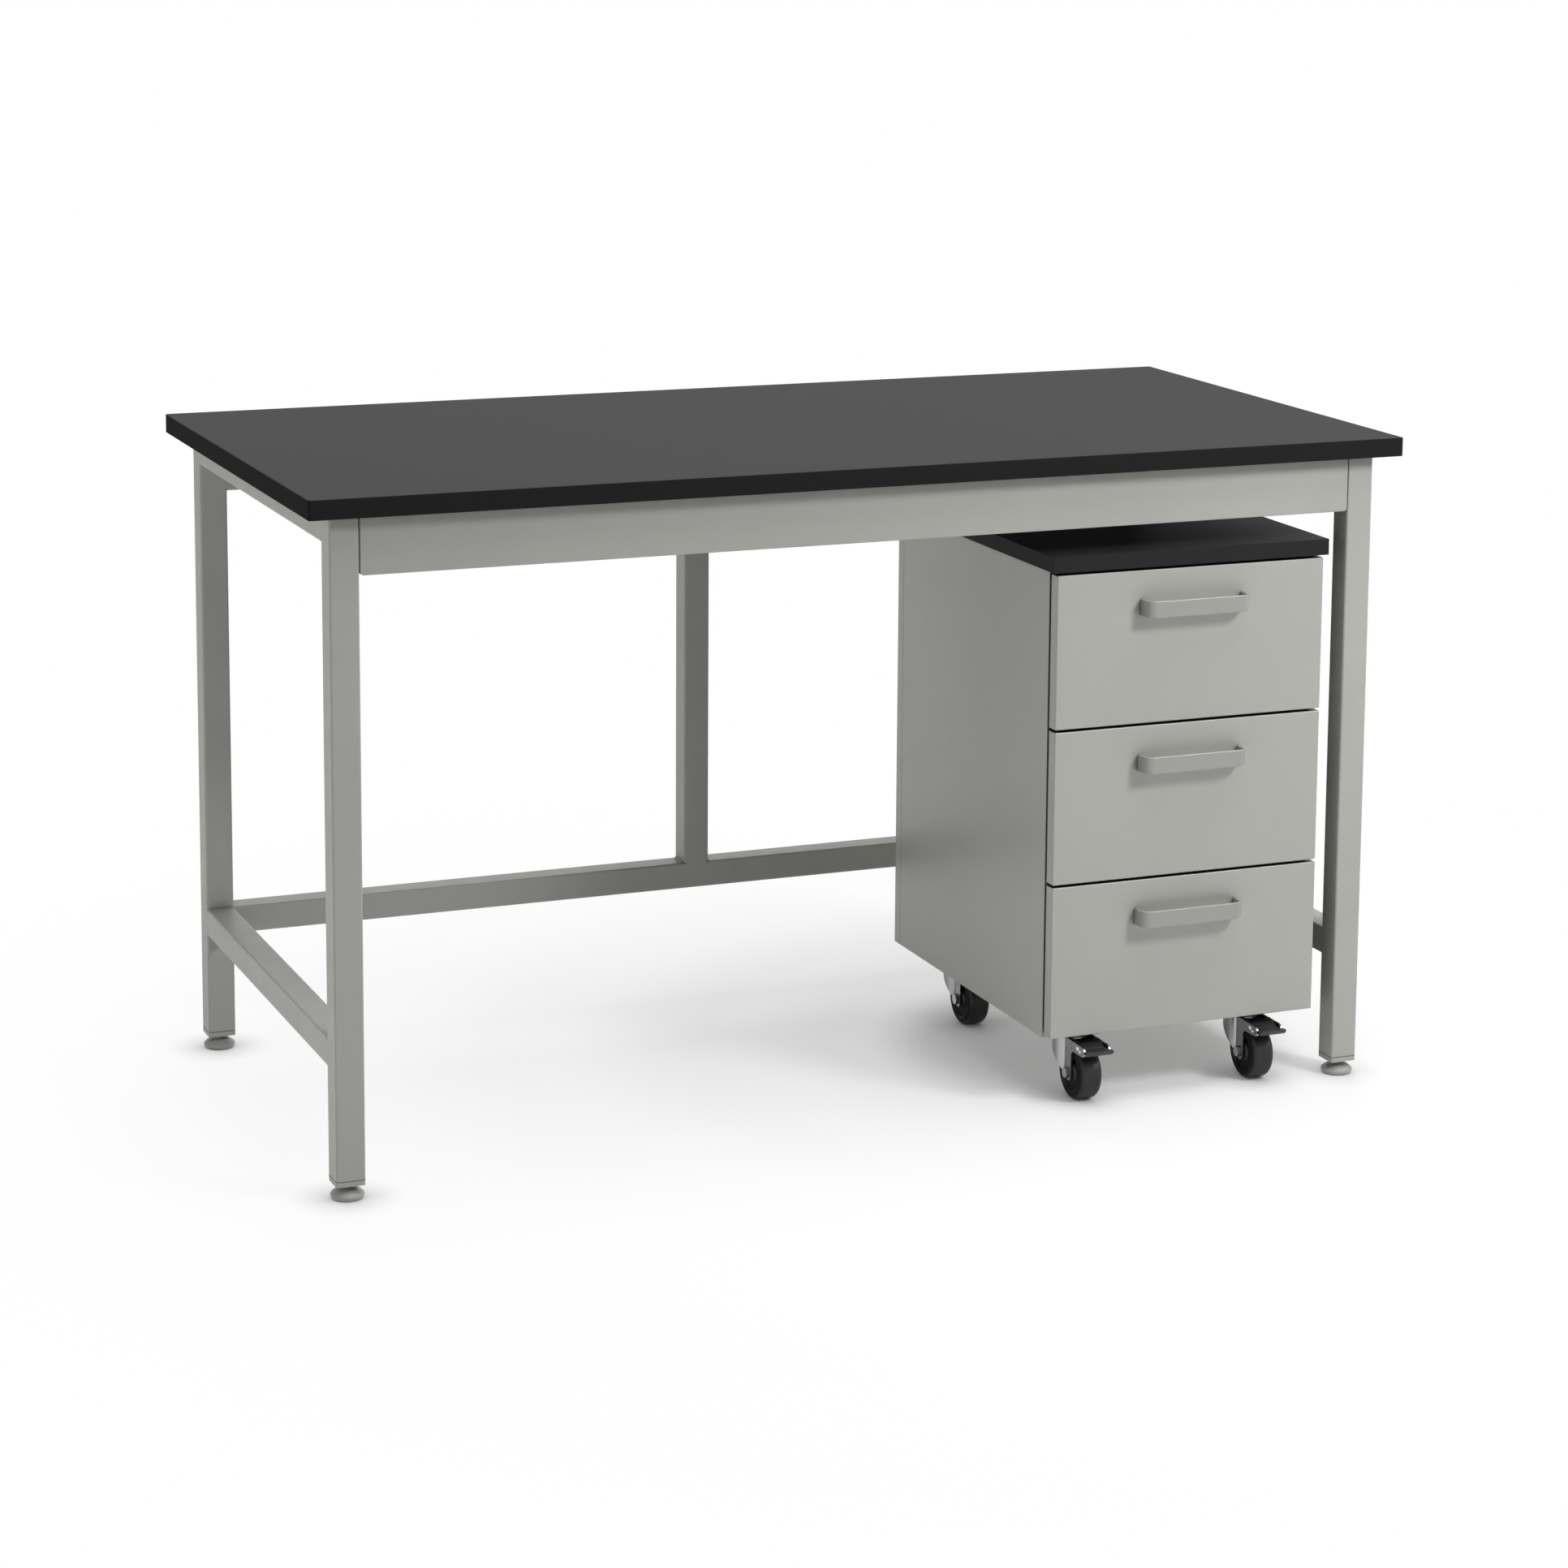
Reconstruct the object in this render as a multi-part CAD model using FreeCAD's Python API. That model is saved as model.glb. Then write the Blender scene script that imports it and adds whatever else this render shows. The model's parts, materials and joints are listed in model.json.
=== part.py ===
import FreeCAD, Part
import math
import os

# Laboratory table with a mobile three-drawer pedestal standing under its right half.
# Millimetres. +X runs along the table to the right, +Y to the back, +Z up.
# The origin lies on the floor under the centre of the worktop.

# Worktop: a laminated board with one edge band all round, joined on the left edge
table_height = 900.0
worktop_length = 1524.0
worktop_depth = 762.0
worktop_thickness = 25.4
band_thickness = 2.0
band_corner_radius = 4.0
band_arris_radius = 0.8
band_seam_inset = 43.0
band_seam_width = 0.5

# Welded frame of square steel tube
tube_size = 38.1
tube_wall = 2.0
tube_corner_radius = 3.0
side_overhang = 32.0
depth_overhang = 26.0
stretcher_underside = 168.0
rear_rail_height = 76.2

# Folded front apron that hangs from the worktop
apron_height = 76.2
apron_sheet = 1.5
apron_flange = 25.0
apron_side_gap = 1.2
apron_corner_radius = 5.0
apron_bend_radius = 2.0
apron_bracket_leg = 22.0
apron_bracket_gap = 3.0

# Brackets and screws that hold the worktop
bracket_leg = 30.0
bracket_width = 30.0
bracket_sheet = 2.5
screw_radius = 2.5
screw_hole_clearance = 0.15
screw_head_radius = 4.5
screw_head_height = 3.0
screw_bite = 18.0
bracket_side_shares = (-0.3, 0.3)
bracket_rear_shares = (-0.25, 0.25)
bracket_screw_share = 0.6
apron_screw_shares = (-0.42, -0.14, 0.14, 0.42)
apron_screw_depth_share = 0.6

# Leg end caps and levelling feet
cap_flange = 7.0
cap_plug_length = 24.0
cap_side_clearance = 0.2
cap_corner_radius = 3.0
foot_gap = 20.0
foot_pad_radius = 21.5
foot_pad_base_radius = 17.5
foot_pad_edge = 6.5
foot_dome_height = 14.0
foot_collar_radius = 7.5
foot_stem_radius = 5.0
foot_stem_clearance = 0.05
foot_stem_reach = 52.0
foot_base_bulge_share = 0.75
foot_edge_bulge_share = 0.33
foot_dome_bulge_share = 0.72

# Pedestal carcass and drawers
pedestal_clearance = 36.4
pedestal_width = 400.0
pedestal_side_gap = 33.4
pedestal_rear_gap = 140.0
handle_setback = 1.0
board_thickness = 19.0
board_arris_radius = 0.8
pedestal_top_thickness = 22.0
pedestal_top_side_overhang = 7.0
pedestal_top_front_overhang = 2.0
pedestal_top_rear_overhang = 2.0
pedestal_top_arris_radius = 0.8
pedestal_rail_width = 60.0
drawer_count = 3
front_thickness = 19.0
front_back_gap = 6.5
front_gap = 3.5
front_top_gap = 3.6
front_bottom_reveal = 4.3
front_edge_radius = 1.6
box_sheet = 1.5
box_floor_gap = 4.0
box_top_gap = 24.6
box_rear_gap = 40.0

# Telescopic drawer slides: an outer, a middle and an inner channel on each side
slide_thickness = 12.7
slide_height = 45.0
slide_sheet = 1.2
slide_clearance = 0.4
slide_setback = 3.0

# Bent strap handles
handle_length = 154.0
handle_height = 23.0
handle_strap = 4.0
handle_projection = 27.0
handle_bend_radius = 12.5
handle_drop = 50.0
handle_edge_radius = 1.2

# Swivel casters with plain wheels
wheel_radius = 37.5
wheel_tread_width = 33.0
wheel_shoulder = 7.5
wheel_rim_radius = 26.0
wheel_web_width = 27.0
wheel_hub_radius = 14.0
wheel_draft = 2.0
wheel_side_gap = 0.7
axle_radius = 4.0
axle_clearance = 0.05
axle_hole_clearance = 0.2
axle_head_flats = 13.0
axle_head_height = 4.5
caster_trail = 27.5
caster_side_inset = 68.0
caster_front_inset = 45.8
caster_rear_inset = 91.4
fork_sheet = 2.5
fork_half_width = 20.0
fork_crown_radius = 27.5
fork_web = 3.0
fork_wheel_gap = 7.5
fork_tip_radius = 8.0
fork_tip_reach = 2.5
fork_tip_drop = 2.5
fork_rear_reach = 46.5
fork_skirt = 6.5
fork_ear_reach = 51.0
fork_ear_depth = 14.0
fork_ear_level = 40.0
fork_nose_radius = 6.5
fork_throat_radius = 8.0
fork_web_setback = 10.0
race_radius = 19.0
race_height = 8.2
race_gap = 0.3
king_pin_radius = 6.0
king_pin_clearance = 0.05
king_head_radius = 9.0
king_head_height = 3.0
plate_length = 62.0
plate_width = 58.0
plate_sheet = 3.5
plate_corner_radius = 6.0
plate_hole_inset = 8.5
bolt_radius = 3.0
bolt_hole_clearance = 0.15
bolt_head_radius = 5.0
bolt_head_height = 3.0
bolt_bite = 14.0

# Brake pedals on the two front casters; reach is forward of the axle, rise is above it
pedal_pivot_reach = 30.0
pedal_pivot_rise = 42.5
pedal_pin_radius = 3.0
pedal_pin_clearance = 0.05
pedal_side_gap = 0.5
pedal_toe_half_width = 18.5
pedal_toe_start = 53.0
pedal_rear_reach = 10.0
pedal_rear_rise = 47.0
pedal_shoulder_reach = 19.5
pedal_shoulder_rise = 50.3
pedal_brow_reach = 30.0
pedal_brow_rise = 47.8
pedal_waist_reach = 39.5
pedal_waist_rise = 43.2
pedal_tip_reach = 63.5
pedal_tip_rise = 45.4
pedal_lip_reach = 58.0
pedal_lip_rise = 38.0
pedal_plate = 4.5
pedal_lip_plate = 3.5

# Every cut runs past the faces that it opens by this much
overrun = 1.0

# Places worked out from the sizes above
worktop_underside = table_height - worktop_thickness
half_length = worktop_length / 2
half_depth = worktop_depth / 2
leg_outer_x = half_length - side_overhang
leg_outer_y = half_depth - depth_overhang
leg_inner_x = leg_outer_x - tube_size
leg_inner_y = leg_outer_y - tube_size
leg_x = leg_outer_x - tube_size / 2
leg_y = leg_outer_y - tube_size / 2
rear_rail_underside = worktop_underside - rear_rail_height
stretcher_top = stretcher_underside + tube_size
stem_bore_radius = foot_stem_radius + foot_stem_clearance

pedestal_right = leg_inner_x - pedestal_side_gap
pedestal_x = pedestal_right - pedestal_width / 2
pedestal_left = pedestal_right - pedestal_width
front_face_y = -half_depth + handle_setback + handle_projection
front_back_y = front_face_y + front_thickness
carcass_front_y = front_back_y + front_back_gap
carcass_rear_y = leg_inner_y - pedestal_rear_gap
back_front_y = carcass_rear_y - board_thickness
inner_half_width = pedestal_width / 2 - board_thickness
pedestal_top_z = worktop_underside - apron_height - pedestal_clearance
carcass_top_z = pedestal_top_z - pedestal_top_thickness
web_underside = 2 * wheel_radius + fork_wheel_gap
web_top = web_underside + fork_web
race_top = web_top + race_height
plate_underside = race_top + race_gap
carcass_bottom_z = plate_underside + plate_sheet
fronts_bottom_z = carcass_bottom_z + front_bottom_reveal
fronts_top_z = carcass_top_z - front_top_gap
front_height = (fronts_top_z - fronts_bottom_z - (drawer_count - 1) * front_gap) / drawer_count
box_bottom_rise = board_thickness - front_bottom_reveal + box_floor_gap
box_top_drop = board_thickness - front_top_gap + box_top_gap
box_height = front_height - box_bottom_rise - box_top_drop
box_half_width = inner_half_width - slide_thickness
box_rear_y = back_front_y - box_rear_gap
slide_front_y = carcass_front_y + slide_setback

caster_places = {
    "front_left": (pedestal_left + caster_side_inset, carcass_front_y + caster_front_inset),
    "front_right": (pedestal_right - caster_side_inset, carcass_front_y + caster_front_inset),
    "rear_left": (pedestal_left + caster_side_inset, carcass_rear_y - caster_rear_inset),
    "rear_right": (pedestal_right - caster_side_inset, carcass_rear_y - caster_rear_inset),
}
leg_places = {
    "front_left": (-leg_x, -leg_y),
    "front_right": (leg_x, -leg_y),
    "rear_left": (-leg_x, leg_y),
    "rear_right": (leg_x, leg_y),
}
drawer_names = ("top", "middle", "bottom")
X_AXIS = FreeCAD.Vector(1, 0, 0)
Y_AXIS = FreeCAD.Vector(0, 1, 0)
Z_AXIS = FreeCAD.Vector(0, 0, 1)
ORIGIN = FreeCAD.Vector(0, 0, 0)


def vec(x, y, z):
    return FreeCAD.Vector(x, y, z)


def save(shape, node):
    shape.exportStep("parts/" + node + ".step")


def group(shapes):
    return Part.makeCompound(shapes)


def block(x_span, y_span, z_span):
    """A box between the two values of each span."""
    size = [span[1] - span[0] for span in (x_span, y_span, z_span)]
    return Part.makeBox(size[0], size[1], size[2], vec(x_span[0], y_span[0], z_span[0]))


def upright(radius, x, y, z_span):
    """A cylinder along Z."""
    return Part.makeCylinder(radius, z_span[1] - z_span[0], vec(x, y, z_span[0]), Z_AXIS)


def crosswise(radius, x_span, y, z):
    """A cylinder along X."""
    return Part.makeCylinder(radius, x_span[1] - x_span[0], vec(x_span[0], y, z), X_AXIS)


def rounded_prism(width, depth, radius, length):
    """A prism along Z from 0, centred, with its four upright edges rounded."""
    solid = block((-width / 2, width / 2), (-depth / 2, depth / 2), (0, length))
    edges = [edge for edge in solid.Edges if abs(edge.BoundBox.ZLength - length) < length / 2]
    return solid.makeFillet(radius, edges)


def tube(width, depth, length):
    """A rectangular tube along Z from 0, centred, with open ends."""
    outer = rounded_prism(width, depth, tube_corner_radius, length)
    inner = rounded_prism(width - 2 * tube_wall, depth - 2 * tube_wall,
                          max(tube_corner_radius - tube_wall, tube_wall / 2), length + 2 * overrun)
    inner.translate(vec(0, 0, -overrun))
    return outer.cut(inner)


def tube_up(x, y, z_span):
    piece = tube(tube_size, tube_size, z_span[1] - z_span[0])
    piece.translate(vec(x, y, z_span[0]))
    return piece


def tube_along_x(x_span, y, z, height):
    piece = tube(height, tube_size, x_span[1] - x_span[0])
    piece.rotate(ORIGIN, Y_AXIS, 90)
    piece.translate(vec(x_span[0], y, z))
    return piece


def tube_along_y(x, y_span, z):
    piece = tube(tube_size, tube_size, y_span[1] - y_span[0])
    piece.rotate(ORIGIN, X_AXIS, -90)
    piece.translate(vec(x, y_span[0], z))
    return piece


def outline(points):
    """A closed face through points that lie in one plane."""
    return Part.Face(Part.makePolygon(points + [points[0]]))


def arc(start, middle, end):
    return Part.Arc(start, middle, end).toShape()


def line(start, end):
    return Part.LineSegment(start, end).toShape()


def edges_at(solid, test):
    """The edges whose middle point passes the test."""
    return [edge for edge in solid.Edges if test(edge.BoundBox.Center, edge.BoundBox)]


# Worktop and its fixings

def screw_places():
    """Where screws enter the worktop, each with the underside of what its head clamps."""
    places = []
    reach = bracket_leg * bracket_screw_share
    for share in bracket_side_shares:
        for side in (-1, 1):
            places.append((side * (leg_inner_x - reach), share * worktop_depth, bracket_sheet))
    for share in bracket_rear_shares:
        places.append((share * worktop_length, leg_inner_y - reach, bracket_sheet))
    for share in apron_screw_shares:
        y = -leg_outer_y + apron_flange * apron_screw_depth_share
        places.append((share * worktop_length, y, apron_sheet))
    return places


def screw(x, y, clamped):
    seat = worktop_underside - clamped
    head = upright(screw_head_radius, x, y, (seat - screw_head_height, seat))
    shank = upright(screw_radius, x, y, (seat, worktop_underside + screw_bite))
    return head.fuse(shank).removeSplitter()


def make_worktop():
    inner_x = half_length - band_thickness
    inner_y = half_depth - band_thickness
    panel = block((-inner_x, inner_x), (-inner_y, inner_y), (worktop_underside, table_height))
    hole_radius = screw_radius + screw_hole_clearance
    for x, y, clamped in screw_places():
        hole_span = (worktop_underside - overrun, worktop_underside + screw_bite + overrun)
        panel = panel.cut(upright(hole_radius, x, y, hole_span))
    save(panel, "worktop_panel")

    band = rounded_prism(worktop_length, worktop_depth, band_corner_radius, worktop_thickness)
    level = edges_at(band, lambda centre, box: box.ZLength < worktop_thickness / 2)
    band = band.makeFillet(band_arris_radius, level)
    band.translate(vec(0, 0, worktop_underside))
    core_span = (worktop_underside - overrun, table_height + overrun)
    band = band.cut(block((-inner_x, inner_x), (-inner_y, inner_y), core_span))
    seam_y = half_depth - band_seam_inset
    seam_x = (-half_length - overrun, -inner_x + overrun)
    seam = block(seam_x, (seam_y, seam_y + band_seam_width), core_span)
    save(band.cut(seam), "worktop_edge_band")


def bracket(x, y, turn):
    """An angle bracket with its upright leg at x, y and its level leg along the turned +X."""
    half = bracket_width / 2
    level = block((0, bracket_leg), (-half, half), (-bracket_sheet, 0))
    standing = block((0, bracket_sheet), (-half, half), (-bracket_leg, 0))
    hole_span = (-bracket_sheet - overrun, overrun)
    hole = upright(screw_radius + screw_hole_clearance, bracket_leg * bracket_screw_share, 0, hole_span)
    piece = level.fuse(standing).removeSplitter().cut(hole)
    piece.rotate(ORIGIN, Z_AXIS, turn)
    piece.translate(vec(x, y, worktop_underside))
    return piece


def make_fixings():
    pieces = []
    for share in bracket_side_shares:
        pieces.append(bracket(-leg_inner_x, share * worktop_depth, 0))
        pieces.append(bracket(leg_inner_x, share * worktop_depth, 180))
    for share in bracket_rear_shares:
        pieces.append(bracket(share * worktop_length, leg_inner_y, -90))
    save(group(pieces), "worktop_brackets")
    save(group([screw(x, y, clamped) for x, y, clamped in screw_places()]), "worktop_screws")


# Frame

def make_frame():
    leg_span = (foot_gap + cap_flange, worktop_underside)
    for name, (x, y) in leg_places.items():
        save(tube_up(x, y, leg_span), name + "_leg")
    depth_span = (-leg_inner_y, leg_inner_y)
    width_span = (-leg_inner_x, leg_inner_x)
    side_rail_z = worktop_underside - tube_size / 2
    rear_rail_z = worktop_underside - rear_rail_height / 2
    stretcher_z = stretcher_underside + tube_size / 2
    for name, side in (("left", -1), ("right", 1)):
        save(tube_along_y(side * leg_x, depth_span, side_rail_z), name + "_top_rail")
        save(tube_along_y(side * leg_x, depth_span, stretcher_z), name + "_stretcher")
    save(tube_along_x(width_span, leg_y, rear_rail_z, rear_rail_height), "rear_top_rail")
    save(tube_along_x(width_span, leg_y, stretcher_z, tube_size), "rear_stretcher")
    save(tube_up(0, leg_y, (stretcher_top, rear_rail_underside)), "rear_mid_post")


def make_apron():
    """A folded channel: a face flush with the front legs and two flanges turned back."""
    half = leg_inner_x - apron_side_gap
    front = -leg_outer_y
    back = front + apron_flange
    top = worktop_underside
    bottom = top - apron_height
    section = [
        (front, bottom), (back, bottom), (back, bottom + apron_sheet),
        (front + apron_sheet, bottom + apron_sheet), (front + apron_sheet, top - apron_sheet),
        (back, top - apron_sheet), (back, top), (front, top),
    ]
    apron = outline([vec(-half, y, z) for y, z in section]).extrude(vec(2 * half, 0, 0))
    folds = edges_at(apron, lambda centre, box: box.XLength > half and box.YMax < front + apron_sheet / 2)
    apron = apron.makeFillet(apron_bend_radius, folds)
    radius = apron_corner_radius
    flange_span = (front - overrun, back + overrun)
    for side in (-1, 1):
        corner_x = sorted((side * (half + overrun), side * (half - radius)))
        corner = block(corner_x, flange_span, (bottom - overrun, bottom + radius))
        kept = Part.makeCylinder(radius, flange_span[1] - flange_span[0],
                                 vec(side * (half - radius), flange_span[0], bottom + radius), Y_AXIS)
        apron = apron.cut(corner.cut(kept))
    for x, y, clamped in screw_places():
        if y < 0 and abs(x) < half and clamped == apron_sheet:
            hole_span = (top - apron_sheet - overrun, top + overrun)
            apron = apron.cut(upright(screw_radius + screw_hole_clearance, x, y, hole_span))
    save(apron, "front_apron")
    save(group([apron_bracket(side) for side in (-1, 1)]), "apron_end_brackets")


def apron_bracket(side):
    """An angle behind one end of the apron, with one leg on the apron and one on the leg tube."""
    front = -leg_outer_y + apron_sheet
    low = worktop_underside - apron_height + apron_sheet + apron_bracket_gap
    z_span = (low, worktop_underside - apron_sheet - apron_bracket_gap)
    face_x = sorted((side * (leg_inner_x - apron_bracket_leg), side * leg_inner_x))
    flank_x = sorted((side * (leg_inner_x - bracket_sheet), side * leg_inner_x))
    face = block(face_x, (front, front + bracket_sheet), z_span)
    flank = block(flank_x, (front, front + apron_bracket_leg), z_span)
    return face.fuse(flank).removeSplitter()


def make_feet():
    caps = []
    plug_size = tube_size - 2 * tube_wall - 2 * cap_side_clearance
    plug_top = foot_gap + cap_flange + cap_plug_length
    for name, (x, y) in leg_places.items():
        flange = rounded_prism(tube_size, tube_size, cap_corner_radius, cap_flange)
        flange.translate(vec(x, y, foot_gap))
        plug = rounded_prism(plug_size, plug_size, cap_corner_radius, cap_plug_length)
        plug.translate(vec(x, y, foot_gap + cap_flange))
        bore = upright(stem_bore_radius, x, y, (foot_gap - overrun, plug_top + overrun))
        caps.append(flange.fuse(plug).removeSplitter().cut(bore))
        save(levelling_foot(x, y), name + "_levelling_foot")
    save(group(caps), "leg_end_caps")


def levelling_foot(x, y):
    """A domed pad with a collar and a threaded stem, turned about its own axis."""
    base = vec(foot_pad_base_radius, 0, 0)
    rim = vec(foot_pad_radius, 0, foot_pad_edge)
    collar = vec(foot_collar_radius, 0, foot_dome_height)
    flare = foot_base_bulge_share * (foot_pad_radius - foot_pad_base_radius)
    lower_bulge = vec(foot_pad_base_radius + flare, 0, foot_edge_bulge_share * foot_pad_edge)
    dome_rise = foot_dome_bulge_share * (foot_dome_height - foot_pad_edge)
    dome_bulge = vec((foot_pad_radius + foot_collar_radius) / 2, 0, foot_pad_edge + dome_rise)
    stem_top = foot_gap + foot_stem_reach
    stem_foot = vec(foot_stem_radius, 0, foot_dome_height)
    stem_end = vec(foot_stem_radius, 0, stem_top)
    axis_top = vec(0, 0, stem_top)
    wire = Part.Wire([
        line(ORIGIN, base), arc(base, lower_bulge, rim), arc(rim, dome_bulge, collar),
        line(collar, stem_foot), line(stem_foot, stem_end), line(stem_end, axis_top),
        line(axis_top, ORIGIN),
    ])
    foot = Part.Face(wire).revolve(ORIGIN, Z_AXIS, 360)
    foot.translate(vec(x, y, 0))
    return foot


# Pedestal carcass

def bolt_places():
    """The four bolt places of each caster plate."""
    step_x = plate_length / 2 - plate_hole_inset
    step_y = plate_width / 2 - plate_hole_inset
    return [(x + sx * step_x, y + sy * step_y)
            for x, y in caster_places.values() for sx in (-1, 1) for sy in (-1, 1)]


def eased(board, outer_x):
    """A board with the upright edges of its outer face rounded."""
    edges = edges_at(board, lambda centre, box: box.ZLength > board_thickness
                     and abs(centre.x - outer_x) < board_arris_radius)
    return board.makeFillet(board_arris_radius, edges)


def make_carcass():
    side_span = (carcass_front_y, back_front_y)
    z_span = (carcass_bottom_z, carcass_top_z)
    inner_span = (pedestal_x - inner_half_width, pedestal_x + inner_half_width)
    left = block((pedestal_left, inner_span[0]), side_span, z_span)
    right = block((inner_span[1], pedestal_right), side_span, z_span)
    back = block((pedestal_left, pedestal_right), (back_front_y, carcass_rear_y), z_span)
    save(eased(left, pedestal_left), "pedestal_left_side")
    save(eased(right, pedestal_right), "pedestal_right_side")
    save(eased(eased(back, pedestal_left), pedestal_right), "pedestal_back")
    bottom = block(inner_span, side_span, (carcass_bottom_z, carcass_bottom_z + board_thickness))
    for x, y in bolt_places():
        hole_span = (carcass_bottom_z - overrun, carcass_bottom_z + bolt_bite + overrun)
        bottom = bottom.cut(upright(bolt_radius + bolt_hole_clearance, x, y, hole_span))
    save(bottom, "pedestal_bottom")
    rail_z = (carcass_top_z - board_thickness, carcass_top_z)
    save(group([
        block(inner_span, (carcass_front_y, carcass_front_y + pedestal_rail_width), rail_z),
        block(inner_span, (back_front_y - pedestal_rail_width, back_front_y), rail_z),
    ]), "pedestal_top_rails")
    top = block((pedestal_left - pedestal_top_side_overhang, pedestal_right + pedestal_top_side_overhang),
                (front_face_y - pedestal_top_front_overhang, carcass_rear_y + pedestal_top_rear_overhang),
                (carcass_top_z, pedestal_top_z))
    save(top.makeFillet(pedestal_top_arris_radius, top.Edges), "pedestal_top")


# Drawers

def channel(side, web_out, web_in, lip, half_height, y_span, z):
    """A slide channel on one side; its section is measured inwards from the carcass wall."""
    section = [
        (web_out, -half_height), (lip, -half_height), (lip, slide_sheet - half_height),
        (web_in, slide_sheet - half_height), (web_in, half_height - slide_sheet),
        (lip, half_height - slide_sheet), (lip, half_height), (web_out, half_height),
    ]
    wall_x = pedestal_x + side * inner_half_width
    points = [vec(wall_x - side * reach, y_span[0], z + rise) for reach, rise in section]
    return outline(points).extrude(vec(0, y_span[1] - y_span[0], 0))


def slide_members(z):
    """Outer, middle and inner channels of one drawer, each a left and right pair."""
    y_span = (slide_front_y, box_rear_y)
    lip_in = slide_thickness - slide_sheet - slide_clearance
    middle_web = slide_sheet + slide_clearance
    lip_out = middle_web + slide_sheet + slide_clearance
    inner_web = slide_thickness - slide_sheet
    outer_half = slide_height / 2
    middle_half = outer_half - slide_sheet - slide_clearance
    inner_half = middle_half - slide_sheet - slide_clearance
    outer, middle, inner = [], [], []
    for side in (-1, 1):
        outer.append(channel(side, 0, slide_sheet, lip_in, outer_half, y_span, z))
        middle.append(channel(side, middle_web, middle_web + slide_sheet, lip_in, middle_half, y_span, z))
        inner.append(channel(side, slide_thickness, inner_web, lip_out, inner_half, y_span, z))
    return outer, middle, inner


def drawer_front(bottom_z):
    front = block((pedestal_left, pedestal_right), (front_face_y, front_back_y),
                  (bottom_z, bottom_z + front_height))
    rounded = edges_at(front, lambda centre, box: centre.y < front_back_y - front_thickness / 4)
    return front.makeFillet(front_edge_radius, rounded)


def drawer_box(bottom_z):
    floor_z = bottom_z + box_bottom_rise
    outer = block((pedestal_x - box_half_width, pedestal_x + box_half_width), (front_back_y, box_rear_y),
                  (floor_z, floor_z + box_height))
    inner_half = box_half_width - box_sheet
    inner = block((pedestal_x - inner_half, pedestal_x + inner_half),
                  (front_back_y + box_sheet, box_rear_y - box_sheet),
                  (floor_z + box_sheet, floor_z + box_height + overrun))
    return outer.cut(inner)


def handle(centre_z):
    """A flat strap bent to a U, standing on the drawer front."""
    half = handle_length / 2
    wall = front_face_y
    face = front_face_y - handle_projection
    outer_r = handle_bend_radius
    inner_r = handle_bend_radius - handle_strap
    outer_mid = outer_r * (1 - math.sqrt(2) / 2)
    inner_mid = inner_r * (1 - math.sqrt(2) / 2)
    inner_half = half - handle_strap
    inner_face = face + handle_strap
    z = centre_z - handle_height / 2

    def at(x, y):
        return vec(pedestal_x + x, y, z)

    wire = Part.Wire([
        line(at(-half, wall), at(-half, face + outer_r)),
        arc(at(-half, face + outer_r), at(outer_mid - half, face + outer_mid), at(outer_r - half, face)),
        line(at(outer_r - half, face), at(half - outer_r, face)),
        arc(at(half - outer_r, face), at(half - outer_mid, face + outer_mid), at(half, face + outer_r)),
        line(at(half, face + outer_r), at(half, wall)),
        line(at(half, wall), at(inner_half, wall)),
        line(at(inner_half, wall), at(inner_half, inner_face + inner_r)),
        arc(at(inner_half, inner_face + inner_r), at(inner_half - inner_mid, inner_face + inner_mid),
            at(inner_half - inner_r, inner_face)),
        line(at(inner_half - inner_r, inner_face), at(inner_r - inner_half, inner_face)),
        arc(at(inner_r - inner_half, inner_face), at(inner_mid - inner_half, inner_face + inner_mid),
            at(-inner_half, inner_face + inner_r)),
        line(at(-inner_half, inner_face + inner_r), at(-inner_half, wall)),
        line(at(-inner_half, wall), at(-half, wall)),
    ])
    strap = Part.Face(wire).extrude(vec(0, 0, handle_height))
    clear = wall - handle_strap / 2
    level = edges_at(strap, lambda centre, box: box.ZLength < handle_height / 2 and centre.y < clear)
    return strap.makeFillet(handle_edge_radius, level)


def make_drawers():
    outers = []
    for index, name in enumerate(drawer_names[:drawer_count]):
        bottom_z = fronts_bottom_z + (drawer_count - 1 - index) * (front_height + front_gap)
        save(drawer_front(bottom_z), name + "_drawer_front")
        save(drawer_box(bottom_z), name + "_drawer_box")
        save(handle(bottom_z + front_height - handle_drop), name + "_drawer_handle")
        outer, middle, inner = slide_members(bottom_z + box_bottom_rise + box_height / 2)
        outers += outer
        save(group(middle), name + "_slide_middle_members")
        save(group(inner), name + "_slide_inner_members")
    save(group(outers), "slide_outer_members")


# Casters, modelled about their own swivel axis with the wheel trailing towards -Y

def caster_plate(x, y):
    """A bolted plate with the king pin that carries the fork."""
    plate = rounded_prism(plate_length, plate_width, plate_corner_radius, plate_sheet)
    plate.translate(vec(x, y, plate_underside))
    head_top = web_underside - race_gap
    pin = upright(king_pin_radius, x, y, (head_top, plate_underside))
    head = upright(king_head_radius, x, y, (head_top - king_head_height, head_top))
    return plate.fuse([pin, head]).removeSplitter()


def caster_bolt(x, y):
    head = upright(bolt_head_radius, x, y, (plate_underside - bolt_head_height, plate_underside))
    shank = upright(bolt_radius, x, y, (plate_underside, carcass_bottom_z + bolt_bite))
    return head.fuse(shank).removeSplitter()


def touch_point(outside, centre, radius, side):
    """Where a line from an outside point touches a circle; side picks which of the two places."""
    along, up = outside[0] - centre[0], outside[1] - centre[1]
    bearing = math.atan2(up, along) + side * math.acos(radius / math.hypot(along, up))
    return (centre[0] + radius * math.cos(bearing), centre[1] + radius * math.sin(bearing))


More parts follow.
